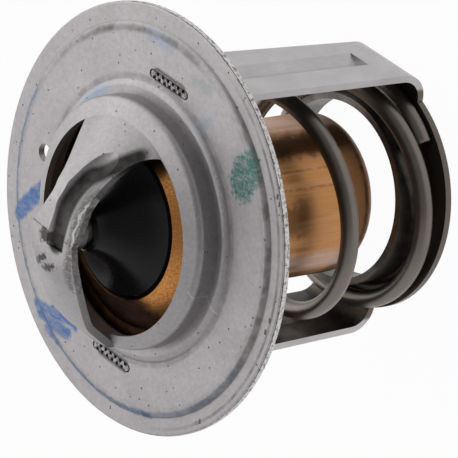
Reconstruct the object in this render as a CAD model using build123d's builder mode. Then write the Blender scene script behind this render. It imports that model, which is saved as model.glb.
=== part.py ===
"""Engine coolant thermostat: a stamped flange with a bridge, a spring cage and a wax element.

The axis of the thermostat is Z and the bridge points up. Z = 0 is the underside of the
flange's outer rim, the face that lies in the recess of the housing. The two cage legs and
the two feet of the bridge lie along Y. Millimetres throughout.
"""
import math
import os

from build123d import *

os.makedirs("parts", exist_ok=True)

# ---------------------------------------------------------------- flange and dome
sheet = 0.9                     # thickness of the stamped flange
flange_r = 27.0                 # 54 mm thermostat
rim_edge = 0.25                 # rounding of the rim's upper edge
joggle_r = 24.3                 # where the sheet steps down to the rim
joggle_h = 0.5
bead_r = 17.3                   # raised ring the valve closes against
bead_h = 0.6
wall_r = 15.35                  # middle of the dome's upright wall
shoulder_z = 4.1
sill_r = 13.2                   # where the dome turns up into the steep flank
sill_z = 5.0
crown_r = 6.2                   # where the steep flank rolls over into the crown
crown_z = 12.75
top_r = 4.1
top_z = 13.95
apex_z = 14.35
low_crown_r = 4.6               # the same on the other flank, which is less steep
low_crown_z = 14.05
low_knee_r = 12.6
low_knee_z = 8.7
low_foot_z = 5.0                # where that flank meets the dome's wall
vent_x = -19.3                  # small air bleed hole
vent_r = 1.15

# ---------------------------------------------------------------- bridge and its windows
window_r = 13.65                # outer edge of the two windows
window_y = -0.3
near_edge = 3.8                 # edges of the bridge at the crown, seen from above
far_edge = -4.3
near_waist = 3.5
far_waist = -2.4
waist_y = 5.6
near_foot = (6.6, 11.9)
far_foot = (-9.0, 10.6)
low_foot_near = 3.7
low_foot_far = -4.3
groove_x = 0.9                  # stiffening groove pressed into the steep flank
groove_half = 1.75
groove_depth = 0.65
groove_end_y = -1.6
groove_fade = 1.2               # how far the tool has lifted at the foot
pocket_r = 2.4                  # cup under the crown that holds the piston's tip
pocket_mouth_z = 11.0
pocket_roof_z = 12.9

# ---------------------------------------------------------------- fits
slide_gap = 0.04                # radial running clearance on the piston
rest_gap = 0.02                 # between a moving face and the face it rests on
slot_gap = 0.05                 # round the cage tabs

# ---------------------------------------------------------------- wax element
piston_r = 1.9
piston_end_z = -2.2
disc_len = 0.8
plug_len = 5.0
cup_r = 10.2
cup_wall = 0.8
cup_end_z = -29.4
cup_corner = 2.4
lip_top_z = 2.6                 # the cup's mouth is crimped inwards over the boot
lip_in_r = 8.9
boot_base_t = 0.8
boot_edge_r = 9.1               # the skirt spreads to the edge of the valve plate
boot_edge_z = 3.9
boot_waist_r = 5.5
boot_waist_z = 5.7
boot_tip_r = 2.8
boot_tip_z = 10.0
boot_skin = 0.9
guide_neck_r = 3.4
diaphragm_t = 1.0

# ---------------------------------------------------------------- valve plate
plate_t = 0.8
plate_r = 16.2
plate_cone_r = 13.6             # where the flat rim turns up into the cone
plate_hole_r = 9.45
plate_hub_z = 3.45              # middle of the sheet at the edge of that hole

# ---------------------------------------------------------------- spring
wire_r = 1.15
coil_r = 14.6
pitch = 12.6
flat_turn = 220.0               # degrees of each end coil that lie flat
tip_angle = 47.0                # where the lower end of the wire is cut off
step_angle = 20.0

# ---------------------------------------------------------------- cage
cage_t = 0.9
coil_out = coil_r + wire_r
ring_margin = 0.15              # the ring reaches just past the coil it carries
collar_gap = 1.05               # and its collar stands inside that coil
leg_gap = 1.85                  # from the coil to each leg, where the leg turns into the ring
other_leg_gap = 1.25
ring_z = -36.4                  # the face the thermostat stands on
ring_r = coil_out + ring_margin
ring_bend = 4.0                 # outside radius of the bend from leg to ring
low_ring_bend = 3.2
collar_r = coil_r - wire_r - collar_gap - cage_t
collar_top_z = -30.9
collar_bend = 1.2
leg_y = 19.2                    # outer face of a leg where it meets the flange
leg_y_low = coil_out + leg_gap + cage_t     # and where it turns into the ring
other_y_low = coil_out + other_leg_gap + cage_t     # the other leg leans in further
leg_near = 6.3                  # edges of the strip across the legs
leg_far_top = -5.9
leg_far_low = -4.1
cage_shift = 0.5                # tabs and ribs sit a little to one side of the axis
rib_half = 1.75
rib_depth = 0.7
rib_top_z = -4.0
rib_end_z = -29.6
tab_half = 3.6
notch = 0.5                     # staking marks on the end of a tab
notch_depth = 0.35
notch_pitch = 1.0
notches = 6

mid = sheet / 2
deck_z = joggle_h + sheet       # upper face of the flange between rim and bead
seat_z = joggle_h + bead_h      # underside of the bead, where the valve closes


# ================================================================ flange
# section of the sheet from the rim to the apex of the bridge
with BuildSketch(Plane.XZ) as dome_section:
    with BuildLine():
        sheet_line = Polyline(
            (flange_r, mid),
            (joggle_r + 0.18, mid),
            (joggle_r - 0.18, joggle_h + mid),
            (bead_r + 0.25, joggle_h + mid),
            (bead_r - 0.25, seat_z + mid),
            (wall_r, seat_z + mid),
            (wall_r, shoulder_z),
            (sill_r, sill_z),
            (crown_r, crown_z),
            (top_r, top_z),
            (0, apex_z),
        )
        bends = sheet_line.vertices().sort_by(Axis.X)
        fillet([v for v in bends if top_r - 0.1 < v.X < crown_r + 0.1], radius=2.5)
        fillet([v for v in bends if sill_r - 0.1 < v.X < flange_r - 1], radius=mid + 0.02)
    trace(line_width=sheet)
    with Locations((flange_r / 2, 10)):
        Rectangle(flange_r, 40, mode=Mode.INTERSECT)

# section of the gentler flank, from the dome's wall to the apex
with BuildSketch(Plane.XZ) as low_section:
    with BuildLine():
        flank_line = Polyline(
            (wall_r, seat_z + sheet),
            (wall_r, low_foot_z),
            (low_knee_r, low_knee_z),
            (low_crown_r, low_crown_z),
            (0, apex_z),
        )
        turns = flank_line.vertices().sort_by(Axis.X)
        fillet([v for v in turns if v.X < low_crown_r + 0.1 and v.X > 1], radius=4)
        fillet([v for v in turns if abs(v.X - low_knee_r) < 0.1], radius=4)
        fillet([v for v in turns if v.X > low_knee_r + 1 and v.Y > low_foot_z - 0.1], radius=0.8)
    trace(line_width=sheet)
    with Locations((flange_r / 2, 10)):
        Rectangle(flange_r, 40, mode=Mode.INTERSECT)

# the bridge seen from above: the steep flank with its wide foot, then the gentler one
with BuildSketch() as steep_plan:
    with BuildLine():
        Spline(
            near_foot,
            (near_waist + 0.5, near_foot[1] - 1.7),
            (near_waist, near_foot[1] - 3.2),
            (near_waist + 0.1, waist_y),
            (near_edge, 0),
        )
        Line((near_edge, 0), (far_edge, 0))
        Spline(
            (far_edge, 0),
            (far_waist - 0.4, 2.8),
            (far_waist, waist_y - 0.9),
            ((far_waist + far_foot[0]) / 2 - 0.2, 8.6),
            far_foot,
        )
        Polyline(far_foot, (far_foot[0] - 3, far_foot[1] + 3), (near_foot[0] + 3, near_foot[1] + 3), near_foot)
    make_face()
with BuildSketch() as low_plan:
    with BuildLine():
        Spline((near_edge, 0), (near_edge + 0.45, -3), (near_edge + 0.1, -8), (low_foot_near, -wall_r - 0.2))
        Line((low_foot_near, -wall_r - 0.2), (low_foot_far, -wall_r - 0.2))
        Spline((low_foot_far, -wall_r - 0.2), (low_foot_far - 0.2, -6), (far_edge, 0))
        Line((far_edge, 0), (near_edge, 0))
    make_face()
with BuildSketch() as opening_plan:
    with Locations((0, window_y)):
        Circle(window_r)
    add(steep_plan.sketch, mode=Mode.SUBTRACT)

# the gentler flank, cut from its own surface of revolution
with BuildPart() as low_flank:
    add(low_section.sketch)
    revolve(axis=Axis.Z)
    extrude(low_plan.sketch, amount=20, mode=Mode.INTERSECT)


def steep_height(x, y):
    """Outer surface of the dome over the steep flank."""
    reach = math.hypot(x, y)
    if reach < top_r:
        return apex_z + mid
    if reach < crown_r:
        return top_z + mid - (top_z - crown_z) * (reach - top_r) / (crown_r - top_r)
    fall = (crown_z - sill_z) / (sill_r - crown_r)
    return crown_z - fall * (reach - crown_r) + mid * math.hypot(1, fall)


# the stiffening groove: a round tool drawn along the steep flank
tool_r = (groove_half ** 2 + groove_depth ** 2) / (2 * groove_depth)
with BuildLine() as groove_line:
    stations = []
    for x, y in [(0, groove_end_y), (0, 1), (0, 4), (-0.1, 7), (0.2, 9.0), (1.0, 10.6)]:
        x = groove_x + x
        reach = math.hypot(x, y)
        # the tool stands off along the sheet's normal, so the groove keeps its depth on the slope
        fall = (steep_height(0, max(reach - 1, 0)) - steep_height(0, reach + 1)) / 2
        lift = tool_r - groove_depth + (groove_fade if y > 10 else 0)
        out = lift * fall / math.hypot(1, fall) / reach
        stations.append((x + out * x, y + out * y, steep_height(x, y) + lift / math.hypot(1, fall)))
    Spline(*stations)
groove_path = groove_line.wire()
groove_start = Plane(origin=groove_path @ 0, z_dir=groove_path % 0)
# the sheet under the groove is pushed down by as much
with BuildPart() as pressed:
    add(dome_section.sketch)
    revolve(axis=Axis.Z)
    with BuildSketch(Plane.XY.offset(sill_z)):
        with Locations((groove_x, (groove_end_y + 9.5) / 2)):
            Rectangle(1.5 * groove_half, 9.5 - groove_end_y)
    extrude(amount=20, mode=Mode.INTERSECT)

with BuildPart() as flange:
    add(dome_section.sketch)
    revolve(axis=Axis.Z)
    rim = flange.edges().filter_by(GeomType.CIRCLE).filter_by(lambda e: e.radius > flange_r - 0.1)
    fillet(rim.sort_by(Axis.Z)[-1], radius=rim_edge)
    # open the windows, then put in the gentler flank where the dome was cut away
    extrude(opening_plan.sketch.moved(Location((0, 0, shoulder_z))), amount=20, mode=Mode.SUBTRACT)
    extrude(low_plan.sketch.moved(Location((0, 0, seat_z + sheet))), amount=20, mode=Mode.SUBTRACT)
    add(low_flank.part)
    # press the groove
    add(pressed.part.moved(Location((0, 0, -groove_depth))))
    with BuildSketch(groove_start):
        Circle(tool_r)
    sweep(path=groove_path, mode=Mode.SUBTRACT)
    # the cup for the piston's tip
    with BuildSketch(Plane.XY.offset(pocket_mouth_z)):
        Circle(pocket_r)
    extrude(amount=pocket_roof_z + 0.4 - pocket_mouth_z)
    with BuildSketch(Plane.XY.offset(pocket_mouth_z)):
        Circle(piston_r + rest_gap)
    extrude(amount=pocket_roof_z - pocket_mouth_z, mode=Mode.SUBTRACT)
    # the air bleed hole and the slots for the cage tabs
    with BuildSketch():
        with Locations((vent_x, 0)):
            Circle(vent_r)
        with Locations((cage_shift, leg_y - cage_t / 2), (cage_shift, -leg_y + cage_t / 2)):
            SlotOverall(2 * (tab_half + slot_gap) + 0.3, cage_t + 2 * slot_gap + 0.1)
    extrude(amount=3, mode=Mode.SUBTRACT)
flange.part.label = "flange"
export_step(flange.part, "parts/flange.step")


# ================================================================ cage
# one strip: down one side, across the bottom as a ring, and up the other side
rib_r = (rib_half ** 2 + rib_depth ** 2) / (2 * rib_depth)
with BuildPart() as cage:
    with BuildSketch(Plane.YZ):
        with BuildLine():
            strip = Polyline(
                (leg_y - cage_t / 2, joggle_h),
                (leg_y_low - cage_t / 2, ring_z + cage_t / 2),
                (cage_t / 2 - other_y_low, ring_z + cage_t / 2),
                (cage_t / 2 - leg_y, joggle_h),
            )
            fillet([v for v in strip.vertices() if v.X > 0 and v.Y < 0], radius=ring_bend - cage_t / 2)
            fillet([v for v in strip.vertices() if v.X < 0 and v.Y < 0], radius=low_ring_bend - cage_t / 2)
        trace(line_width=cage_t)
    extrude(amount=20, both=True)
    with BuildSketch(Plane.XZ):
        with BuildLine():
            Polyline(
                (leg_near, joggle_h), (leg_near, ring_z - 1), (leg_far_low, ring_z - 1),
                (leg_far_low, ring_z + ring_bend), (leg_far_top, joggle_h), (leg_near, joggle_h),
            )
        make_face()
    extrude(amount=40, both=True, mode=Mode.INTERSECT)
    for side, low_y in ((1, leg_y_low), (-1, other_y_low)):
        # the stiffening rib is pressed inwards down the middle of the leg
        lean = (leg_y - low_y) / (joggle_h - ring_z)
        down = (0, -side * lean, -1)
        rib_y = leg_y + lean * (rib_top_z - joggle_h)
        with BuildSketch(Plane.XY.offset(rib_top_z)):
            with Locations((cage_shift, side * (rib_y + rib_r - rib_depth))):
                Circle(rib_r + cage_t)
            with Locations((cage_shift, side * (rib_y - cage_t / 2 - 5))):
                Rectangle(20, 10, mode=Mode.INTERSECT)
        extrude(amount=rib_top_z - rib_end_z, dir=down)
        with BuildSketch(Plane.XY.offset(rib_top_z)):
            with Locations((cage_shift, side * (rib_y + rib_r - rib_depth))):
                Circle(rib_r)
        extrude(amount=rib_top_z - rib_end_z, dir=down, mode=Mode.SUBTRACT)
        # the tab that goes through the flange and is staked over
        with BuildSketch(Plane.XY.offset(joggle_h)):
            with Locations((cage_shift, side * (leg_y - cage_t / 2))):
                SlotOverall(2 * tab_half, cage_t)
        extrude(amount=sheet)
        # staking marks in two staggered rows
        for row in (-1, 1):
            row_y = side * (leg_y - cage_t / 2) + row * (cage_t / 2 - 0.1)
            with BuildSketch(Plane.XY.offset(deck_z - notch_depth)):
                with Locations((cage_shift + row * notch_pitch / 4, row_y)):
                    with GridLocations(notch_pitch, 1, notches, 1):
                        Rectangle(notch, notch, rotation=20)
            extrude(amount=notch_depth, mode=Mode.SUBTRACT)
    # the ring with its drawn collar
    with BuildSketch(Plane.XY.offset(ring_z)):
        Circle(ring_r)
    extrude(amount=cage_t)
    with BuildSketch(Plane.XY.offset(ring_z)):
        Circle(collar_r + cage_t + collar_bend)
    extrude(amount=cage_t, mode=Mode.SUBTRACT)
    with BuildSketch(Plane.XZ):
        with BuildLine():
            collar = Polyline(
                (collar_r + cage_t + collar_bend + 0.1, ring_z + cage_t / 2),
                (collar_r + cage_t / 2, ring_z + cage_t / 2),
                (collar_r + cage_t / 2, collar_top_z),
            )
            corner = [v for v in collar.vertices() if v.X < collar_r + cage_t and v.Y < collar_top_z - 1]
            fillet(corner, radius=collar_bend)
        trace(line_width=cage_t)
    revolve(axis=Axis.Z)
cage.part.label = "cage"
export_step(cage.part, "parts/cage.step")


# ================================================================ spring
# flat end coils, a ramp to the working pitch, and the same again at the top
wire_low = ring_z + cage_t + rest_gap + wire_r
wire_high = seat_z - rest_gap - plate_t - rest_gap - wire_r
ramp = 360.0 - flat_turn
ramp_rise = 2 * wire_r + 0.03                                   # the second coil clears the first
slope = pitch / 360.0
end_turn = flat_turn + slope * ramp ** 2 / (2 * ramp_rise)
end_rise = slope * (end_turn - flat_turn) / 2
turned = 2 * end_turn + (wire_high - wire_low - 2 * end_rise) / slope


def rise(angle):
    """Height gained by the wire at this many degrees from the nearer end."""
    if angle < flat_turn:
        return 0.0
    if angle < end_turn:
        return end_rise * ((angle - flat_turn) / (end_turn - flat_turn)) ** 2
    return end_rise + slope * (angle - end_turn)


with BuildPart() as spring:
    with BuildLine() as coil:
        steps = round(turned / step_angle)
        centres = []
        for i in range(steps + 1):
            angle = turned * i / steps
            height = wire_low + rise(angle) if 2 * angle < turned else wire_high - rise(turned - angle)
            around = math.radians(tip_angle + angle)
            centres.append((coil_r * math.cos(around), coil_r * math.sin(around), height))
        Spline(*centres)
    wire_path = coil.wire()
    with BuildSketch(Plane(origin=wire_path @ 0, z_dir=wire_path % 0)):
        Circle(wire_r)
    sweep(path=wire_path, is_frenet=False)
spring.part.label = "spring"
export_step(spring.part, "parts/spring.step")


# ================================================================ valve plate
with BuildPart() as valve_plate:
    with BuildSketch(Plane.XZ):
        with BuildLine():
            plate = Polyline(
                (plate_r, seat_z - rest_gap - plate_t / 2),
                (plate_cone_r, seat_z - rest_gap - plate_t / 2),
                (plate_hole_r, plate_hub_z),
            )
            fillet(plate.vertices()[1], radius=plate_t)
        trace(line_width=plate_t)
    revolve(axis=Axis.Z)
valve_plate.part.label = "valve_plate"
export_step(valve_plate.part, "parts/valve_plate.step")


# ================================================================ wax element
bore_r = piston_r + slide_gap
core_r = cup_r - cup_wall                                       # everything inside the cup
boot_base_z = lip_top_z - cup_wall - boot_base_t
plug_top_z = piston_end_z - disc_len
plug_end_z = plug_top_z - plug_len
wax_top_z = plug_end_z - diaphragm_t

with BuildPart() as capsule:
    with BuildSketch(Plane.XZ):
        with BuildLine():
            cup = Polyline(
                (0, cup_end_z + cup_wall / 2),
                (cup_r - cup_wall / 2, cup_end_z + cup_wall / 2),
                (cup_r - cup_wall / 2, lip_top_z - cup_wall / 2),
                (lip_in_r, lip_top_z - cup_wall / 2),
            )
            fillet([v for v in cup.vertices() if v.X > core_r and v.Y < 0], radius=cup_corner - cup_wall / 2)
            fillet([v for v in cup.vertices() if v.X > core_r and v.Y > 0], radius=cup_wall / 2 + 0.02)
        trace(line_width=cup_wall)
        with Locations((20, 0)):
            Rectangle(40, 100, mode=Mode.INTERSECT)
    revolve(axis=Axis.Z)
capsule.part.label = "capsule"
export_step(capsule.part, "parts/capsule.step")

# glossy skirt round the piston: held under the crimped lip, spread out to the valve plate
with BuildPart() as boot:
    with BuildSketch(Plane.XZ):
        with BuildLine():
            skirt = Spline(
                (boot_edge_r, boot_edge_z),
                (boot_waist_r, boot_waist_z),
                (boot_tip_r, boot_tip_z - 0.3),
                tangents=((-1, 0.25), (-0.25, 1)),
            )
            Polyline(skirt @ 1, (boot_tip_r - 0.3, boot_tip_z), (0, boot_tip_z), (0, boot_base_z))
            Polyline(
                (0, boot_base_z), (core_r, boot_base_z), (core_r, lip_top_z - cup_wall),
                (lip_in_r, lip_top_z - cup_wall), (lip_in_r, boot_edge_z - plate_t), (boot_edge_r, boot_edge_z - plate_t),
                skirt @ 0,
            )
        make_face()
    revolve(axis=Axis.Z)
    # hollow over the neck of the guide
    with BuildSketch(Plane.XZ):
        with BuildLine():
            Polyline(
                (0, boot_base_z), (guide_neck_r + 0.6, boot_base_z), (boot_tip_r - boot_skin, boot_tip_z - 1.6),
                (0, boot_tip_z - 1.6), (0, boot_base_z),
            )
        make_face()
    revolve(axis=Axis.Z, mode=Mode.SUBTRACT)
    with BuildSketch(Plane.XY.offset(boot_base_z)):
        Circle(bore_r)
    extrude(amount=20, mode=Mode.SUBTRACT)
boot.part.label = "boot"
export_step(boot.part, "parts/boot.step")

# brass guide the piston slides in
with BuildPart() as guide:
    with BuildSketch(Plane.XZ):
        with BuildLine():
            Polyline(
                (bore_r, plug_end_z), (core_r, plug_end_z), (core_r, boot_base_z),
                (guide_neck_r + 0.6, boot_base_z), (boot_tip_r - boot_skin + 0.2, boot_tip_z - 2.6),
                (bore_r, boot_tip_z - 2.6), (bore_r, plug_end_z),
            )
        make_face()
    revolve(axis=Axis.Z)
guide.part.label = "guide"
export_step(guide.part, "parts/guide.step")

with BuildPart() as piston:
    with BuildSketch(Plane.XY.offset(piston_end_z)):
        Circle(piston_r)
    extrude(amount=pocket_roof_z - piston_end_z)
    fillet(piston.edges().group_by(Axis.Z)[-1], radius=0.3)
piston.part.label = "piston"
export_step(piston.part, "parts/piston.step")

with BuildPart() as backup_disc:
    with BuildSketch(Plane.XY.offset(plug_top_z)):
        Circle(piston_r)
    extrude(amount=disc_len)
backup_disc.part.label = "backup_disc"
export_step(backup_disc.part, "parts/backup_disc.step")

with BuildPart() as plug:
    with BuildSketch(Plane.XY.offset(plug_end_z)):
        Circle(piston_r)
    extrude(amount=plug_len)
plug.part.label = "plug"
export_step(plug.part, "parts/plug.step")

with BuildPart() as diaphragm:
    with BuildSketch(Plane.XY.offset(wax_top_z)):
        Circle(core_r)
    extrude(amount=diaphragm_t)
diaphragm.part.label = "diaphragm"
export_step(diaphragm.part, "parts/diaphragm.step")

with BuildPart() as wax:
    with BuildSketch(Plane.XY.offset(cup_end_z + cup_wall)):
        Circle(core_r)
    extrude(amount=wax_top_z - cup_end_z - cup_wall)
    fillet(wax.edges().group_by(Axis.Z)[0], radius=cup_corner - cup_wall)
wax.part.label = "wax"
export_step(wax.part, "parts/wax.step")
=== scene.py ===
# %% [markdown]
# # A coolant thermostat, dressed for its portrait
# The imported solids already have the stampings, the coil and the wax element.
# This script gives every piece its metal and adds the small marks of making
# and handling: staking, burrs, ink and scratches. It also puts a smooth copy
# of the spring in place of its solid, and sets up floor, lamps and camera.
# Places are in metres, in the same frame as the solids.

# %% Load the frame
import math

import bmesh
import bpy
from mathutils import Matrix, Vector


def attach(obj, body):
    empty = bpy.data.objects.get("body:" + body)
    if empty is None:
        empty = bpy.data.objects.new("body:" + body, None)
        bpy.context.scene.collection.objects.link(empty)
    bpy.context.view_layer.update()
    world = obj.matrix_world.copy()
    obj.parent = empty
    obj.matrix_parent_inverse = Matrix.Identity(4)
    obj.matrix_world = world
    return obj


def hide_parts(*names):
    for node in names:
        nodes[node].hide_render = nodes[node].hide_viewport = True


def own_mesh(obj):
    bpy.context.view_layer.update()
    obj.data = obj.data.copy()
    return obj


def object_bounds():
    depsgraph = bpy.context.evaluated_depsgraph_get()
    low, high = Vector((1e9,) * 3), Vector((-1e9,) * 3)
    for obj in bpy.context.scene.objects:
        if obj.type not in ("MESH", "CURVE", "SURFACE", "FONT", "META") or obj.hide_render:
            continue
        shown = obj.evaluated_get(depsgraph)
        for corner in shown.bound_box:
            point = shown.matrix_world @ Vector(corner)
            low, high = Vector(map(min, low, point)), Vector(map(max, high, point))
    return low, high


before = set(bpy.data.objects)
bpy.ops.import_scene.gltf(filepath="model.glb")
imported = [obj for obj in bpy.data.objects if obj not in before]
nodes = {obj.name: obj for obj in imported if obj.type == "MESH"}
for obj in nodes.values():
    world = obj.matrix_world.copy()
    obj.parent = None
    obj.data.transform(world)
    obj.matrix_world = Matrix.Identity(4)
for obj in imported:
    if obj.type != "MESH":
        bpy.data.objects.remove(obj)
cad_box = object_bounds()
MM = 0.001
print("solids:", sorted(nodes))

# %% [markdown]
# ## A short way to write shaders
# Blender builds a material from nodes, and each node takes several lines to
# make by hand. One small class makes a node, fills its sockets and gives back
# the socket that comes out, so that a material can be read like a sum.


# %% Nodes as sums
class Shader:
    """A short way to write a node tree: every call returns a socket."""

    def __init__(self, tree):
        self.nodes = tree.nodes
        self.links = tree.links

    def put(self, socket, value):
        if isinstance(value, bpy.types.NodeSocket):
            self.links.new(value, socket)
        elif isinstance(value, (tuple, list)) and len(value) == 3 and socket.type == "RGBA":
            socket.default_value = (*value, 1.0)
        else:
            socket.default_value = value

    def node(self, kind, out=0, settings=(), **inputs):
        """An input is named by its title, or by its number as _0, _1 and so on."""
        made = self.nodes.new("ShaderNode" + kind)
        for key, value in dict(settings).items():
            setattr(made, key, value)
        for key, value in inputs.items():
            numbered = key[0] == "_" and key[1:].isdigit()
            self.put(made.inputs[int(key[1:]) if numbered else key.replace("_", " ")], value)
        return made.outputs[out]

    def math(self, op, a, b=0.0, c=0.0, clamp=False):
        return self.node("Math", settings={"operation": op, "use_clamp": clamp}, _0=a, _1=b, _2=c)

    def vec(self, op, a, b=(0, 0, 0), out=0):
        return self.node("VectorMath", out, {"operation": op}, _0=a, _1=b)

    def noise(self, where, scale, detail=4.0, rough=0.55, out=0):
        return self.node("TexNoise", out, Vector=where, Scale=scale, Detail=detail, Roughness=rough)

    def step(self, value, low, high, to_low=0.0, to_high=1.0):
        """A soft step from to_low, where the value is low, to to_high, where it is high."""
        return self.node("MapRange", settings={"interpolation_type": "SMOOTHSTEP"},
                         Value=value, From_Min=low, From_Max=high, To_Min=to_low, To_Max=to_high)

    def mix(self, share, a, b):
        """Colour a, covered by colour b as far as the share says."""
        made = self.nodes.new("ShaderNodeMix")
        made.data_type = "RGBA"
        for number, value in ((0, share), (6, a), (7, b)):
            self.put(made.inputs[number], value)
        return made.outputs[2]

    def either(self, *masks):
        joined = masks[0]
        for mask in masks[1:]:
            joined = self.math("MAXIMUM", joined, mask)
        return joined

    def times(self, *factors):
        joined = factors[0]
        for factor in factors[1:]:
            joined = self.math("MULTIPLY", joined, factor)
        return joined

    def toned(self, base, tone):
        """The base colour, made lighter or darker by a tone about 1."""
        return self.vec("MULTIPLY", base, self.node("CombineXYZ", _0=tone, _1=tone, _2=tone))


# %% [markdown]
# ## Marks that stay where they are put
# A stain or a scratch needs a place. It could be painted on an image, but the
# piece would have to be unwrapped first. Here a mark is a distance from a line
# or a ring, in millimetres of the object's own space, so it is placed with the
# same numbers as the solids and moves with its piece.


# %% Places and masks in millimetres
class Marks(Shader):
    """Masks by distance: 1 on the mark and 0 away from it."""

    def place_mm(self):
        return self.vec("MULTIPLY", self.node("TexCoord", 3), (1000.0, 1000.0, 1000.0))

    def split(self, where):
        made = self.nodes.new("ShaderNodeSeparateXYZ")
        self.put(made.inputs[0], where)
        return made.outputs[0], made.outputs[1], made.outputs[2]

    def radius(self, where):
        return self.vec("LENGTH", self.vec("MULTIPLY", where, (1.0, 1.0, 0.0)), out=1)

    def angle(self, where):
        x, y, _ = self.split(where)
        return self.math("DEGREES", self.math("ARCTAN2", y, x))

    def bend(self, where, scale, amount):
        """The place, pushed about by noise, so that drawn marks aren't ruler-straight."""
        push = self.vec("SUBTRACT", self.noise(where, scale, 4.0, out=1), (0.5, 0.5, 0.5))
        return self.vec("ADD", where, self.vec("MULTIPLY", push, (amount, amount, amount)))

    def close(self, value, centre, wide, narrow):
        """Full where the value is within narrow of the centre, gone beyond wide."""
        off = self.math("ABSOLUTE", self.math("SUBTRACT", value, centre))
        return self.step(off, wide, narrow)

    def sector(self, degrees, centre, wide, narrow, most):
        """The same by direction, which runs on past 180 degrees."""
        off = self.math("WRAP", self.math("SUBTRACT", degrees, centre), 180.0, -180.0)
        return self.step(self.math("ABSOLUTE", off), wide, narrow, 0.0, most)

    def stroke(self, where, x0, y0, x1, y1, half, soft):
        """A stroke between two points, seen from above."""
        start = Vector((x0, y0, 0.0))
        along = Vector((x1, y1, 0.0)) - start
        away = self.vec("MULTIPLY", self.vec("SUBTRACT", where, tuple(start)), (1.0, 1.0, 0.0))
        reach = self.vec("DOT_PRODUCT", away, tuple(along), out=1)
        share = self.math("DIVIDE", reach, along.length_squared, clamp=True)
        foot = self.node("CombineXYZ", _0=share, _1=share, _2=share)
        foot = self.vec("MULTIPLY", foot, tuple(along))
        gap = self.vec("LENGTH", self.vec("SUBTRACT", away, foot), out=1)
        return self.step(gap, half + soft, max(half - soft, 0.0))

    def strokes(self, where, *rows):
        """A table of strokes: x and y of both ends, half width, softness."""
        return self.either(*[self.stroke(where, *row) for row in rows])

    def blot(self, where, centre, half, turn, ragged, scale):
        """A ragged ellipse: centre and half sizes in mm, turned by degrees."""
        made = self.nodes.new("ShaderNodeVectorRotate")
        made.rotation_type = "Z_AXIS"
        self.put(made.inputs["Vector"], self.vec("SUBTRACT", where, (*centre, 0.0)))
        made.inputs["Angle"].default_value = -math.radians(turn)
        flat = self.vec("MULTIPLY", made.outputs[0], (1 / half[0], 1 / half[1], 0.0))
        uneven = self.math("SUBTRACT", self.noise(where, scale, 6.0, 0.65), 0.5)
        wobble = self.math("MULTIPLY", uneven, ragged * 4)
        return self.step(self.math("ADD", self.vec("LENGTH", flat, out=1), wobble), 1.12, 0.78)


# %% [markdown]
# ## A material, its relief and its wearer
# Every finish here is one Principled BSDF. The relief is a bump in the shading
# only, because these marks are a few hundredths of a millimetre deep.


# %% New material
def new_material(name):
    material = bpy.data.materials.new(name)
    material.use_nodes = True
    tree = material.node_tree
    tree.nodes.clear()
    out = tree.nodes.new("ShaderNodeOutputMaterial")
    skin = tree.nodes.new("ShaderNodeBsdfPrincipled")
    tree.links.new(skin.outputs[0], out.inputs[0])
    return material, Marks(tree), skin


def bumped(s, skin, height, depth_mm):
    made = s.nodes.new("ShaderNodeBump")
    made.inputs["Strength"].default_value = 1.0
    made.inputs["Distance"].default_value = depth_mm * MM
    s.put(made.inputs["Height"], height)
    s.links.new(made.outputs[0], skin.inputs["Normal"])


def dress(node, material):
    for slot in nodes[node].material_slots:
        slot.material = material
    print(node, "wears", material.name)


# %% [markdown]
# ## Grain, shared by many finishes
# Sheet, pin and wire all come from a mill, and show slow clouds with a fine
# grain over them. Rubber and moulded plastic show only a fine grain. Each of
# these could be written out in every material. As node groups they are built
# once, and a material gives them its own scale, tone and roughness.


# %% Node groups
def new_group(name, inputs, outputs):
    """A group with named sockets, a writer for its inside, and both of its ends."""
    group = bpy.data.node_groups.new(name, "ShaderNodeTree")
    for title, value in inputs.items():
        kind = "NodeSocketVector" if isinstance(value, tuple) else "NodeSocketFloat"
        made = group.interface.new_socket(title, in_out="INPUT", socket_type=kind)
        made.default_value = value
    for title in outputs:
        group.interface.new_socket(title, in_out="OUTPUT", socket_type="NodeSocketFloat")
    entry = group.nodes.new("NodeGroupInput").outputs
    leave = group.nodes.new("NodeGroupOutput").inputs
    print("group", name, "takes", ", ".join(inputs), "and gives", ", ".join(outputs))
    return group, Marks(group), entry, leave


def placed(s, group, **values):
    """A group in a material, with the material's own values."""
    made = s.nodes.new("ShaderNodeGroup")
    made.node_tree = group
    for title, value in values.items():
        s.put(made.inputs[title.replace("_", " ")], value)
    return made.outputs


# %% Grain of milled metal
mill_grain, s, given, result = new_group(
    "mill_grain",
    {"Place": (0.0, 0.0, 0.0), "Streak": (1.0, 1.0, 1.0),
     "Cloud Scale": 0.2, "Cloud Dark": 0.9, "Cloud Light": 1.06,
     "Grain Scale": 4.0, "Grain Fineness": 0.65, "Grain Tone": 0.07,
     "Smoothest": 0.34, "Roughest": 0.46},
    ["Tone", "Grain", "Roughness"])
cloud = s.noise(given["Place"], given["Cloud Scale"], 3.0)
grain = s.noise(s.vec("MULTIPLY", given["Place"], given["Streak"]),
                given["Grain Scale"], 5.0, given["Grain Fineness"])
clouds = s.step(cloud, 0.25, 0.75, given["Cloud Dark"], given["Cloud Light"])
darker = s.math("MULTIPLY", given["Grain Tone"], -1.0)
s.put(result["Tone"], s.math("ADD", clouds, s.step(grain, 0.3, 0.7, darker, given["Grain Tone"])))
s.put(result["Grain"], grain)
s.put(result["Roughness"], s.step(grain, 0.25, 0.75, given["Smoothest"], given["Roughest"]))

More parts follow.
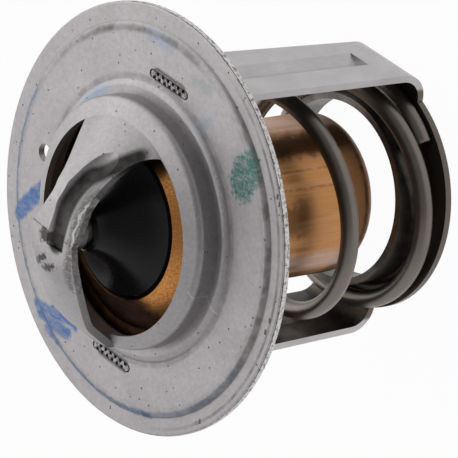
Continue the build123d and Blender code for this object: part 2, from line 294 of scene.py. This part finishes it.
# %% Grain of moulded rubber and plastic
mould_grain, s, given, result = new_group(
    "mould_grain",
    {"Place": (0.0, 0.0, 0.0), "Grain Scale": 8.0, "Smoothest": 0.4, "Roughest": 0.6},
    ["Tone", "Grain", "Roughness"])
fine = s.noise(given["Place"], given["Grain Scale"], 4.0)
s.put(result["Tone"], s.step(fine, 0.2, 0.8, 0.85, 1.15))
s.put(result["Grain"], fine)
s.put(result["Roughness"], s.step(fine, 0.2, 0.8, given["Smoothest"], given["Roughest"]))

# %% [markdown]
# ## The flange
# The flange is rolled steel sheet: pale, satin, with a fine grain. Its marks
# lie over each other as they came: pits in the sheet, then grime and painted
# shade, the bright sheared edge, ink from an inspector, and scuffs from
# handling. Each kind is a short function that takes the colour so far and covers part of it.

# %% Pits in the sheet
LARGE_PITS = [(25.9, -0.7), (25.6, -2.4), (22.6, 14.3), (23.2, 13.6), (17.9, -18.7)]


def pits_in_sheet(s, p):
    """Thinly scattered small pits, and the large ones of the table."""
    cells = {"Vector": p, "Scale": 1.1, "Randomness": 1.0}
    nearest = s.node("TexVoronoi", 0, **cells)
    lot, _, _ = s.split(s.node("TexVoronoi", 1, **cells))
    small = s.times(s.step(nearest, 0.16, 0.08), s.step(lot, 0.70, 0.76))
    large = s.strokes(p, *[(x, y, x + 0.05, y - 0.35, 0.16, 0.08) for x, y in LARGE_PITS])
    return s.either(small, large)


# %% [markdown]
# Grime gathers where a cloth doesn't reach: in the step of the rim, most on
# its upper side, and round the foot of the raised ring. The riser and the rim
# line get the same dark colour on the right side only, and that is painted
# shade. The pressed groove of the bridge has to look nearly black, partly from
# dirt and partly from shadow. Its own shadow isn't dark enough under soft
# lamps, so that part of the darkness is painted shade here.

# %% Grime and painted shade
GRIME_AND_SHADE = (0.07, 0.062, 0.06)
GROOVE_BLACK = (0.016, 0.014, 0.013)
STEP_R, RISER_R, RIM_LINE_R, RING_FOOT_R = 23.9, 24.35, 26.1, 18.0


def add_grime_and_shade(s, colour, p, r, a, z):
    smoky = s.step(s.noise(p, 0.45, 5.0, 0.6), 0.38, 0.62)
    upper = s.close(a, 110.0, 45.0, 15.0)
    right = s.step(s.math("ABSOLUTE", a), 75.0, 40.0)
    in_step = s.times(s.close(r, STEP_R, 0.75, 0.1), s.math("ADD", s.times(upper, 0.6), 0.25))
    # the step and the ring foot get grime; the riser and the rim line are darkened on the right
    # side only, as painted shade
    grime_and_shade = s.either(in_step,
                     s.times(s.close(r, RING_FOOT_R, 0.6, 0.1), 0.45),
                     s.times(s.close(r, RISER_R, 0.5, 0.2), right, 0.75),
                     s.times(s.close(r, RIM_LINE_R, 0.3, 0.1), right, 0.7))
    colour = s.mix(s.times(grime_and_shade, s.math("ADD", s.times(smoky, 0.6), 0.3)), colour, GRIME_AND_SHADE)
    # the groove's near-black is partly dirt and partly painted shade
    groove = s.strokes(p, (0.9, -0.9, 0.8, 7.5, 1.25, 0.35), (0.8, 7.5, 3.9, 11.0, 1.15, 0.5))
    groove = s.times(groove, s.step(z, 4.8, 6.2))
    shaded = s.times(groove, s.math("ADD", s.times(smoky, 0.08), 0.9))
    return s.mix(shaded, colour, GROOVE_BLACK), grime_and_shade


# %% [markdown]
# The rim was sheared from the sheet, which leaves it bright and torn, with one
# dark line where the cut began. The tabs of the cage are staked over in two
# slots, and a ragged black outline is left round each.

# %% Sheared edge and staked tabs
RIM_FROM, RIM_TO = 26.90, 26.95
TORN_DARK, TORN_BRIGHT = (0.2, 0.19, 0.185), (0.68, 0.66, 0.66)
CUT_LINE = (0.04, 0.036, 0.034)
STAKE_BLACK = (0.025, 0.022, 0.02)
STAKES = [(-1.9, 18.95, 2.9, 18.95), (-1.5, -18.75, 3.2, -18.75)]


def add_sheared_edge(s, colour, r, a, z):
    edge = s.step(r, RIM_FROM, RIM_TO)
    along_rim = s.node("CombineXYZ", _0=s.math("MULTIPLY", a, 0.8),
                       _1=s.math("MULTIPLY", z, 2.0), _2=0.0)
    tear = s.noise(along_rim, 1.0, 6.0, 0.75)
    colour = s.mix(edge, colour, s.mix(s.step(tear, 0.40, 0.52), TORN_DARK, TORN_BRIGHT))
    cut = s.times(s.step(r, 26.6, 26.68), s.close(z, 0.72, 0.1, 0.03))
    return s.mix(s.times(cut, 0.8), colour, CUT_LINE), s.times(edge, tear, 2.0)


def add_stakes(s, colour, p):
    outer = s.strokes(p, *[(*ends, 0.85, 0.2) for ends in STAKES])
    core = s.strokes(p, *[(*ends, 0.5, 0.1) for ends in STAKES])
    ragged = s.step(s.noise(p, 2.6, 5.0, 0.7), 0.3, 0.55)
    film = s.times(s.math("SUBTRACT", outer, s.times(core, 0.2)),
                   s.math("ADD", s.times(ragged, 0.5), 0.5))
    return s.mix(s.times(film, 0.8), colour, STAKE_BLACK), film


# %% [markdown]
# Marker ink is thin enough for the grain to show through, so it covers the
# steel by less than all, and a stretched noise gives it the streaks of a felt
# tip: blue strokes, a line in the step, a smear, and a dab of green.

# %% Ink of an inspector
BLUE, BLUE_LINE, BLUE_DOT = (0.05, 0.115, 0.27), (0.06, 0.125, 0.21), (0.04, 0.08, 0.19)
BLUE_SMEAR, BLUE_TRACE = (0.16, 0.28, 0.44), (0.15, 0.25, 0.36)
GREEN, GREEN_TRACE = (0.03, 0.125, 0.105), (0.05, 0.16, 0.14)
BLUE_STROKES = [
    (-22.1, -9.9, -19.6, -6.1, 1.1, 0.35), (-19.6, -6.1, -18.0, -4.6, 1.15, 0.4),
    (-15.4, -19.4, -9.6, -18.6, 0.75, 0.35), (-14.4, -20.4, -8.4, -20.1, 0.8, 0.4),
    (-12.9, -21.6, -9.9, -22.4, 0.45, 0.3), (-9.6, -18.6, -6.9, -18.7, 0.3, 0.25)]
FAINT_STROKES = [(-4.4, 23.2, -0.9, 23.2, 0.8, 0.6), (7.4, 16.3, 8.9, 17.6, 0.6, 0.6)]


def add_blue_ink(s, colour, loose, a, brush):
    colour = s.mix(s.times(s.strokes(loose, *BLUE_STROKES), brush, 0.95), colour, BLUE)
    span = s.either(s.sector(a, 226.0, 68.0, 62.0, 0.95), s.sector(a, 312.0, 32.0, 20.0, 0.4))
    line = s.times(s.close(s.radius(loose), 24.3, 0.62, 0.2), span)
    colour = s.mix(s.times(line, brush, 0.85), colour, BLUE_LINE)
    dot = s.stroke(loose, 8.2, -22.9, 9.2, -22.6, 0.45, 0.3)
    colour = s.mix(s.times(dot, 0.85), colour, BLUE_DOT)
    smear = s.times(s.close(a, 135.0, 14.0, 5.0), s.close(s.radius(loose), 16.6, 0.95, 0.2))
    colour = s.mix(s.times(smear, brush, 0.5), colour, BLUE_SMEAR)
    faint = s.strokes(loose, *FAINT_STROKES)
    return s.mix(s.times(faint, brush, 0.42), colour, BLUE_TRACE)


def add_green_ink(s, colour, p, loose, brush):
    dab = s.either(s.blot(p, (16.9, 14.1), (2.4, 3.3), -8, 0.3, 2.0),
                   s.times(s.stroke(loose, 17.6, 12.0, 17.0, 16.6, 0.9, 0.7), 0.9))
    holes = s.step(s.noise(p, 3.2, 5.0, 0.7), 0.34, 0.5)
    colour = s.mix(s.times(dab, brush, holes, 0.95), colour, GREEN)
    trace = s.stroke(loose, 4.9, 21.3, 7.9, 21.3, 0.6, 0.6)
    return s.mix(s.times(trace, 0.25), colour, GREEN_TRACE)


# %% [markdown]
# The bridge is handled most. Its crown has dark scuffs, and the near edge of
# the bridge tore when it was pressed, which left crumbs and a bright burr. The
# tear is far smaller than the sheet is thick, so it is drawn and not modelled.

# %% Scuffs, burrs and a scratch
SCUFF_BLACK, BURR_DARK = (0.025, 0.02, 0.018), (0.06, 0.054, 0.05)
BURR_BRIGHT, SCRATCH_BRIGHT = (0.68, 0.66, 0.65), (0.6, 0.58, 0.58)
SCUFFS = [(-2.7, -5.4, -0.7, -3.3, 0.38, 0.2), (-0.9, -5.2, 1.3, -3.9, 0.34, 0.2),
          (-7.4, 0.3, -4.7, 0.2, 0.4, 0.3), (-1.4, -0.9, 0.9, -0.5, 0.8, 0.35)]
CRUMBS = [(3.5, -6.0, 3.6, 0.0, 0.45, 0.5), (3.6, 0.0, 3.3, 5.0, 0.6, 0.6),
          (3.3, 5.0, 4.6, 9.6, 0.6, 0.6)]
BURRS = [(3.6, 0.0, 3.45, 5.0, 0.14, 0.1), (3.45, 5.0, 4.8, 9.5, 0.14, 0.1),
         (4.8, 9.5, 6.5, 11.9, 0.12, 0.1)]


def add_scuffs(s, colour, p, loose, z):
    worn = s.bend(p, 1.7, 1.6)
    scuff = s.strokes(worn, *SCUFFS)
    colour = s.mix(s.times(scuff, s.step(z, 9.0, 10.5), 0.88), colour, SCUFF_BLACK)
    on_flank = s.step(z, 5.5, 6.5)
    grit = s.step(s.noise(p, 2.3, 6.0, 0.75), 0.42, 0.56)
    crumb = s.times(s.strokes(worn, *CRUMBS), on_flank, grit)
    colour = s.mix(s.times(crumb, 0.6), colour, BURR_DARK)
    colour = s.mix(s.times(s.strokes(loose, *BURRS), on_flank, 0.8), colour, BURR_BRIGHT)
    scratch = s.stroke(s.bend(p, 0.8, 0.4), 17.3, -4.3, 15.0, -2.0, 0.05, 0.06)
    return s.mix(s.times(scratch, 0.6), colour, SCRATCH_BRIGHT), scuff, crumb


# %% [markdown]
# Now the layers go over each other. Grime, film and pits are less metallic
# than clean steel, and so is the inside of the dome, which gets painted shade.
# That inside is found by its normal, which points down.

# %% Steel of the flange
PALE_STEEL, PIT_BLACK, INSIDE_SHADE = (0.33, 0.313, 0.317), (0.02, 0.018, 0.018), (0.05, 0.042, 0.036)


def flange_steel():
    material, s, skin = new_material("flange_steel")
    p = s.place_mm()
    r, a = s.radius(p), s.angle(p)
    _, _, z = s.split(p)
    loose = s.bend(p, 0.9, 1.1)
    sheet = placed(s, mill_grain, Place=p,
                   Cloud_Scale=0.16, Cloud_Dark=0.93, Cloud_Light=1.05,
                   Grain_Scale=5.5, Grain_Fineness=0.7, Grain_Tone=0.09,
                   Smoothest=0.38, Roughest=0.54)
    mottle = s.step(s.noise(p, 1.7, 4.0, 0.65), 0.3, 0.7, -0.07, 0.07)
    pits = pits_in_sheet(s, p)
    colour = s.toned(PALE_STEEL, s.math("ADD", sheet["Tone"], mottle))
    colour = s.mix(s.times(pits, 0.8), colour, PIT_BLACK)
    colour, grime_and_shade = add_grime_and_shade(s, colour, p, r, a, z)
    # painted shade inside the dome, where the normal points down
    _, _, up = s.split(s.node("TexCoord", 1))
    inside_shade = s.step(up, -0.05, -0.3)
    colour = s.mix(s.times(inside_shade, 0.85), colour, INSIDE_SHADE)
    colour, torn = add_sheared_edge(s, colour, r, a, z)
    felt = s.noise(s.vec("MULTIPLY", loose, (0.5, 1.6, 1.0)), 1.3, 5.0, 0.6)
    brush = s.step(felt, 0.25, 0.62, 0.45, 1.0)
    colour = add_blue_ink(s, colour, loose, a, brush)
    colour = add_green_ink(s, colour, p, loose, brush)
    colour, film = add_stakes(s, colour, p)
    colour, scuff, crumb = add_scuffs(s, colour, p, loose, z)
    s.put(skin.inputs["Base Color"], colour)
    covered = s.either(pits, grime_and_shade, inside_shade, film)
    s.put(skin.inputs["Metallic"], s.step(covered, 0.2, 0.9, 0.9, 0.45))
    s.put(skin.inputs["Roughness"], sheet["Roughness"])
    height = s.math("ADD", s.times(sheet["Grain"], 0.5), torn)
    height = s.math("SUBTRACT", height, s.times(s.either(pits, scuff), 1.5))
    bumped(s, skin, s.math("ADD", height, s.times(crumb, 2.5)), 0.05)
    return material


dress("flange", flange_steel())

# %% [markdown]
# ## Cage and pin
# The cage is the same kind of sheet, a little duller, and the pin is ground
# steel. The faces of the cage that look inwards are almost black: they see
# little light. A dark colour is painted on them here, partly as a film and
# partly as painted shade. They could be given a second material by hand, but
# their normals already tell them apart, so one material does both sides.

# %% Film and painted shade inside the cage
FILM_AND_SHADE_DARK, FILM_AND_SHADE_LIGHT = (0.085, 0.077, 0.073), (0.17, 0.145, 0.122)
RING_EDGE, TAB_TOP = (0.10, 0.078, 0.06), (0.05, 0.045, 0.042)


def add_film_and_shade(s, colour, p, film):
    _, y, z = s.split(p)
    face = s.node("TexCoord", 1)
    _, _, up = s.split(face)
    from_axis = s.vec("NORMALIZE", s.vec("MULTIPLY", p, (1.0, 1.0, 0.0)))
    outwards = s.vec("DOT_PRODUCT", face, from_axis, out=1)
    ring_top = s.times(s.step(up, 0.2, 0.6), s.step(z, -30.0, -33.0))
    collar = s.times(s.step(s.radius(p), 13.5, 12.8), s.step(z, -29.0, -30.5))
    # inward faces, the top of the ring and the collar take a dark colour, partly film and partly
    # painted shade
    inner = s.either(s.step(outwards, -0.1, -0.5), ring_top, collar)
    inner = s.times(inner, s.step(z, -0.4, -2.5))
    film_and_shade_tone = s.mix(s.step(s.noise(p, 0.5, 4.0), 0.35, 0.65), FILM_AND_SHADE_DARK, FILM_AND_SHADE_LIGHT)
    colour = s.mix(s.times(inner, film), colour, film_and_shade_tone)
    ring_edge = s.times(s.step(z, -34.2, -34.9), s.step(s.math("ABSOLUTE", y), 16.6, 16.0))
    colour = s.mix(s.times(ring_edge, 0.9), colour, RING_EDGE)
    bars = s.step(s.noise(s.vec("MULTIPLY", p, (2.2, 1.0, 1.0)), 1.1, 5.0, 0.7), 0.4, 0.58)
    tabs = s.times(s.step(z, 0.5, 0.8), s.math("ADD", s.times(bars, 0.5), 0.4))
    return s.mix(tabs, colour, TAB_TOP)


# %% Steel of cage and pin
LENGTHWISE = (1.0, 1.0, 0.15)


def plain_steel(name, base, smoothest, roughest, grain_scale=4.0, streak=LENGTHWISE, film=0.0):
    material, s, skin = new_material(name)
    p = s.place_mm()
    sheet = placed(s, mill_grain, Place=p, Streak=streak, Grain_Scale=grain_scale,
                   Smoothest=smoothest, Roughest=roughest)
    colour = s.toned(base, sheet["Tone"])
    if film:
        # on the cage the inner faces get a film colour that is partly painted shade
        colour = add_film_and_shade(s, colour, p, film)
    s.put(skin.inputs["Base Color"], colour)
    s.put(skin.inputs["Metallic"], 0.92)
    s.put(skin.inputs["Roughness"], sheet["Roughness"])
    bumped(s, skin, sheet["Grain"], 0.02)
    return material


dress("cage", plain_steel("cage_steel", (0.47, 0.45, 0.46), 0.34, 0.46, film=0.93))
dress("piston", plain_steel("pin_steel", (0.56, 0.55, 0.54), 0.16, 0.24))

# %% [markdown]
# ## The spring
# The solid spring belongs to the frame and is rigid, so a valve plate that
# opens would pass through its upper coils. The real spring is shortened by
# as much as the valve travels. A copy of the coil, with its doubled points
# merged and smooth shading, stands for the solid and is attached to the frame.

# %% Spring
SAME_POINT = 1e-7
CREASE_DEGREES = 40
SPRING_STEEL = (0.175, 0.155, 0.135)
wire = bmesh.new()
wire.from_mesh(nodes["spring"].data)
bmesh.ops.remove_doubles(wire, verts=wire.verts, dist=SAME_POINT)
coil_mesh = bpy.data.meshes.new("coil")
wire.to_mesh(coil_mesh)
wire.free()
coil_mesh.shade_smooth()
coil_mesh.set_sharp_from_angle(angle=math.radians(CREASE_DEGREES))
coil_mesh.materials.clear()
coil_mesh.materials.append(
    plain_steel("spring_steel", SPRING_STEEL, 0.28, 0.4, 6.0, (1.0, 1.0, 1.0)))
coil = bpy.data.objects.new("coil", coil_mesh)
bpy.context.scene.collection.objects.link(coil)
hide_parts("spring")
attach(coil, "frame")
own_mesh(coil)

# %% [markdown]
# ## Brass and copper of the valve
# The cup of the wax element is deep-drawn brass, so its streaks run
# lengthwise: the noise is stretched along the axis. Dark brown and pale bands
# are painted reflection, placed by their direction round the axis, and the
# cup is darker towards its lower end.

# %% Drawn cup
BRASS_DEEP, BRASS = (0.44, 0.205, 0.075), (0.54, 0.28, 0.125)
DARK_REFLECTION_AND_END, PALE_REFLECTION = (0.13, 0.062, 0.028), (0.46, 0.33, 0.27)
DRAW_LINE, SPECK, CRIMP = (0.2, 0.09, 0.035), (0.25, 0.12, 0.05), (0.5, 0.33, 0.18)


def drawn_cup():
    material, s, skin = new_material("brass")
    p = s.place_mm()
    x, y, z = s.split(p)
    around = s.node("CombineXYZ", _0=x, _1=y, _2=s.math("MULTIPLY", z, 0.06))
    streak = s.noise(around, 0.9, 5.0, 0.65)
    fine = s.noise(around, 3.5, 4.0, 0.6)
    mottle = s.noise(p, 0.7, 5.0, 0.6)
    true_a = s.angle(p)
    a = s.math("ADD", true_a, s.math("MULTIPLY", s.math("SUBTRACT", mottle, 0.5), 22.0))
    colour = s.mix(s.step(streak, 0.35, 0.65), BRASS_DEEP, BRASS)
    # dark bands by direction round the axis are painted reflection, and the cup darkens towards its
    # lower end
    dark_reflection_and_end = s.either(s.close(a, 69.0, 14.0, 5.0),
                     s.times(s.close(a, 14.0, 20.0, 6.0), s.step(z, -19.5, -16.5)),
                     s.step(z, -23.5, -25.5))
    colour = s.mix(s.times(dark_reflection_and_end, 0.85), colour, DARK_REFLECTION_AND_END)
    # pale bands by direction round the axis are painted reflection
    pale_reflection = s.either(s.close(a, 96.0, 17.0, 8.0), s.close(a, -26.0, 14.0, 6.0))
    colour = s.mix(s.times(pale_reflection, 0.7), colour, PALE_REFLECTION)
    lines = s.either(s.close(true_a, 48.0, 1.5, 0.5), s.close(true_a, 35.0, 1.5, 0.5))
    colour = s.mix(s.times(lines, s.step(mottle, 0.35, 0.55), 0.55), colour, DRAW_LINE)
    colour = s.mix(s.times(s.step(fine, 0.5, 0.75), 0.35), colour, SPECK)
    colour = s.mix(s.times(s.step(z, -28.2, -29.0), 0.6), colour, CRIMP)
    s.put(skin.inputs["Base Color"], colour)
    s.put(skin.inputs["Metallic"], 1.0)
    s.put(skin.inputs["Roughness"], s.step(streak, 0.3, 0.7, 0.34, 0.5))
    bumped(s, skin, s.math("ADD", streak, s.times(mottle, 0.6)), 0.03)
    return material


dress("capsule", drawn_cup())

# %% [markdown]
# The valve plate is bright copper on one side, and dark brown painted shade
# on the other. The border between the two wanders, so the direction round
# the axis is pushed about by noise before it is compared.

# %% Plate
COPPER_LIGHT, COPPER_DEEP = (0.62, 0.28, 0.085), (0.42, 0.175, 0.055)
PAINTED_SHADE_DEEP, PAINTED_SHADE_LIGHT = (0.07, 0.032, 0.015), (0.13, 0.06, 0.026)


def plate_copper():
    material, s, skin = new_material("copper")
    p = s.place_mm()
    cloud = s.noise(p, 0.6, 5.0, 0.6)
    fine = s.noise(p, 4.0, 4.0, 0.6)
    a = s.math("ADD", s.angle(p), s.math("MULTIPLY", s.math("SUBTRACT", cloud, 0.5), 30.0))
    copper_tone = s.mix(s.step(fine, 0.35, 0.65), COPPER_LIGHT, COPPER_DEEP)
    painted_shade = s.mix(s.step(cloud, 0.35, 0.65), PAINTED_SHADE_DEEP, PAINTED_SHADE_LIGHT)
    # copper on one side and painted shade on the other, by direction round the axis
    s.put(skin.inputs["Base Color"], s.mix(s.close(a, 8.0, 66.0, 48.0), painted_shade, copper_tone))
    s.put(skin.inputs["Metallic"], 1.0)
    s.put(skin.inputs["Roughness"], s.step(fine, 0.3, 0.7, 0.3, 0.44))
    bumped(s, skin, fine, 0.03)
    return material


dress("valve_plate", plate_copper())

# %% [markdown]
# The guide is turned brass. A tool leaves fine rings round the axis, which a
# noise gives when it hardly changes across the piece and changes along it.

# %% Guide
GUIDE_BRASS, GUIDE_STAIN = (0.62, 0.42, 0.18), (0.4, 0.25, 0.1)


def guide_brass():
    material, s, skin = new_material("guide_brass")
    p = s.place_mm()
    x, y, z = s.split(p)
    along = s.node("CombineXYZ", _0=s.math("MULTIPLY", x, 0.12),
                   _1=s.math("MULTIPLY", y, 0.12), _2=z)
    turned = s.noise(along, 1.0, 4.0, 0.6)
    cloud = s.math("MULTIPLY", s.noise(p, 0.25, 4.0), 0.6)
    stain = s.step(s.math("ADD", cloud, s.math("MULTIPLY", turned, 0.4)), 0.42, 0.62)
    colour = s.mix(s.math("MULTIPLY", stain, 0.6), GUIDE_BRASS, GUIDE_STAIN)
    s.put(skin.inputs["Base Color"], colour)
    s.put(skin.inputs["Metallic"], 1.0)
    s.put(skin.inputs["Roughness"], s.step(turned, 0.3, 0.7, 0.25, 0.35))
    bumped(s, skin, turned, 0.02)
    return material


dress("guide", guide_brass())

# %% [markdown]
# ## Rubber and the hidden fillings
# The boot is glossy black rubber. Its highlights are held down so that it
# stays black among bright metal. The disc, the plug and the wax are hidden
# inside, so they get a plain colour and a fine grain, and the diaphragm keeps
# the plain rubber that the frame gave it.


# %% Rubber, plastic and wax
def moulded(name, base, rough, grain_scale=8.0, depth=0.01, specular=0.5):
    material, s, skin = new_material(name)
    fine = placed(s, mould_grain, Place=s.place_mm(), Grain_Scale=grain_scale,
                  Smoothest=rough * 0.85, Roughest=rough * 1.15)
    s.put(skin.inputs["Base Color"], s.toned(base, fine["Tone"]))
    s.put(skin.inputs["Metallic"], 0.0)
    s.put(skin.inputs["Roughness"], fine["Roughness"])
    skin.inputs["Specular IOR Level"].default_value = specular
    bumped(s, skin, fine["Grain"], depth)
    return material


dress("boot", moulded("black_rubber", (0.006, 0.006, 0.007), 0.26, specular=0.16))
dress("backup_disc", moulded("disc_plastic", (0.8, 0.79, 0.75), 0.5))
dress("plug", moulded("seal_rubber", (0.03, 0.03, 0.03), 0.6))
# the frame already has a rubber of this name, and the one made above got a number
dress("diaphragm", bpy.data.materials["seal_rubber"])
dress("wax", moulded("wax", (0.45, 0.3, 0.2), 0.45, grain_scale=1.5, depth=0.05))

# %% [markdown]
# ## Floor and sky
# The thermostat stands on a pale floor that fades into a pale sky. To the
# camera both are white, and the lamps do the modelling. The floor could be lit
# until it is white, but then it would also flood the metal from below, so it
# glows only for rays that see it straight or in a mirror, and is a plain grey
# for the rest.


# %% What is seen straight or in a mirror
def seen_rays(s):
    """1 for rays from the camera, from a gloss or through glass; and all the kinds of ray."""
    kinds = s.nodes.new("ShaderNodeLightPath").outputs
    seen = s.either(kinds["Is Camera Ray"], kinds["Is Glossy Ray"], kinds["Is Transmission Ray"])
    return seen, kinds


def cover(s, share, below, above):
    """One shader over another, as far as the share says."""
    made = s.nodes.new("ShaderNodeMixShader")
    for number, value in enumerate((share, below, above)):
        s.put(made.inputs[number], value)
    return made.outputs[0]


# %% Floor
FLOOR_HALF, FLOOR_GAP = 2.0, 0.0001
FLOOR_GREY = (0.5, 0.5, 0.5)
FLOOR_GLOW = 0.965
floor_z = cad_box[0][2] - FLOOR_GAP
bm = bmesh.new()
bmesh.ops.create_grid(bm, x_segments=1, y_segments=1, size=FLOOR_HALF)
bmesh.ops.translate(bm, verts=bm.verts, vec=(0, 0, floor_z))
floor_mesh = bpy.data.meshes.new("floor")
bm.to_mesh(floor_mesh)
bm.free()
floor = bpy.data.objects.new("floor", floor_mesh)
bpy.context.scene.collection.objects.link(floor)
floor_material = bpy.data.materials.new("floor")
floor_material.use_nodes = True
floor_material.node_tree.nodes.clear()
s = Shader(floor_material.node_tree)
matt = s.node("BsdfDiffuse", Color=FLOOR_GREY)
glow = s.node("Emission", Color=(1, 1, 1), Strength=1.0)
seen, _ = seen_rays(s)
floor_out = s.nodes.new("ShaderNodeOutputMaterial")
s.put(floor_out.inputs[0], cover(s, s.math("MULTIPLY", seen, FLOOR_GLOW), matt, glow))
floor.data.materials.append(floor_material)
print("floor at z", round(floor_z / MM, 2), "mm")

# %% [markdown]
# A white sky alone would leave polished steel white all over. A real studio
# hangs a dark flag beside the lamps, and the metal mirrors it. Here the sky
# itself darkens towards one direction, for reflections only, and the light
# it gives to dull surfaces is weak and even.

# %% Sky with a dark flag
FLAG = Vector((0.55, 0.45, 0.70)).normalized()
SKY_LIGHT = 0.35
SKY_WHITE, FLAG_DARK = 0.95, 0.28
world = bpy.data.worlds.new("studio")
bpy.context.scene.world = world
world.use_nodes = True
world.node_tree.nodes.clear()
s = Shader(world.node_tree)
dim = s.node("Background", Color=(1, 1, 1), Strength=SKY_LIGHT)
towards = s.vec("DOT_PRODUCT", s.node("TexCoord", 0), tuple(FLAG), out=1)
shade = s.step(towards, 0.15, 0.9, SKY_WHITE, FLAG_DARK)
seen, kinds = seen_rays(s)
bright = s.node("Background", Color=(1, 1, 1),
                Strength=s.math("MAXIMUM", kinds["Is Camera Ray"], shade))
world_out = s.nodes.new("ShaderNodeOutputWorld")
s.put(world_out.inputs[0], cover(s, seen, dim, bright))
print("sky gives", SKY_LIGHT, "and is mirrored as", SKY_WHITE, "down to", FLAG_DARK)

# %% [markdown]
# ## Lamps
# One large soft lamp on the left shapes the dome and the legs, and a weaker
# one on the right opens the shadows. The weaker one hangs in front of the dark
# flag, so it mustn't show in the polished steel.

# %% Lamps
AIM = Vector((0, 0, -0.01))


def lamp(name, place, size, power):
    data = bpy.data.lights.new(name, "AREA")
    data.shape = "DISK"
    data.size = size
    data.energy = power
    made = bpy.data.objects.new(name, data)
    bpy.context.scene.collection.objects.link(made)
    made.location = place
    made.rotation_euler = (AIM - Vector(place)).to_track_quat("-Z", "Y").to_euler()
    print(name, "lamp:", power, "W,", size, "m across")
    return made


lamp("key", (-0.50, 0.15, 0.40), 1.15, 3.4)
fill = lamp("fill", (0.5, 0.0, 0.5), 0.7, 1.2)
fill.visible_glossy = False

# %% [markdown]
# ## Camera
# The camera stands off to one side and is rolled, so the valve's axis runs
# across the picture with the bridge to the left. It is far off for so small a
# part and has a long lens, so near and far edges are seen at nearly one scale.
# The three directions are the picture's right, its down, and the way the
# camera looks.

# %% Camera
RIGHT = Vector((0.61484, 0.19586, -0.76395))
DOWN = Vector((0.43919, -0.88960, 0.12539))
AHEAD = Vector((-0.65505, -0.41261, -0.63298))
STANDS = Vector((0.409948, 0.254790, 0.381886))
SENSOR_MM, FOCAL_PIXELS, PICTURE_PIXELS = 36.0, 5000.0, 458.0
camera_data = bpy.data.cameras.new("camera")
camera_data.sensor_width = SENSOR_MM
camera_data.lens = SENSOR_MM * FOCAL_PIXELS / PICTURE_PIXELS
camera_data.clip_start = 0.01
camera_data.clip_end = 20.0
camera = bpy.data.objects.new("camera", camera_data)
bpy.context.scene.collection.objects.link(camera)
turn = Matrix((RIGHT, -DOWN, -AHEAD)).transposed().to_4x4()
camera.matrix_world = Matrix.Translation(STANDS) @ turn
bpy.context.scene.camera = camera
print("camera:", round(camera_data.lens, 1), "mm lens,", round(STANDS.length, 3), "m away")

view = bpy.context.scene.view_settings
view.view_transform = "Standard"
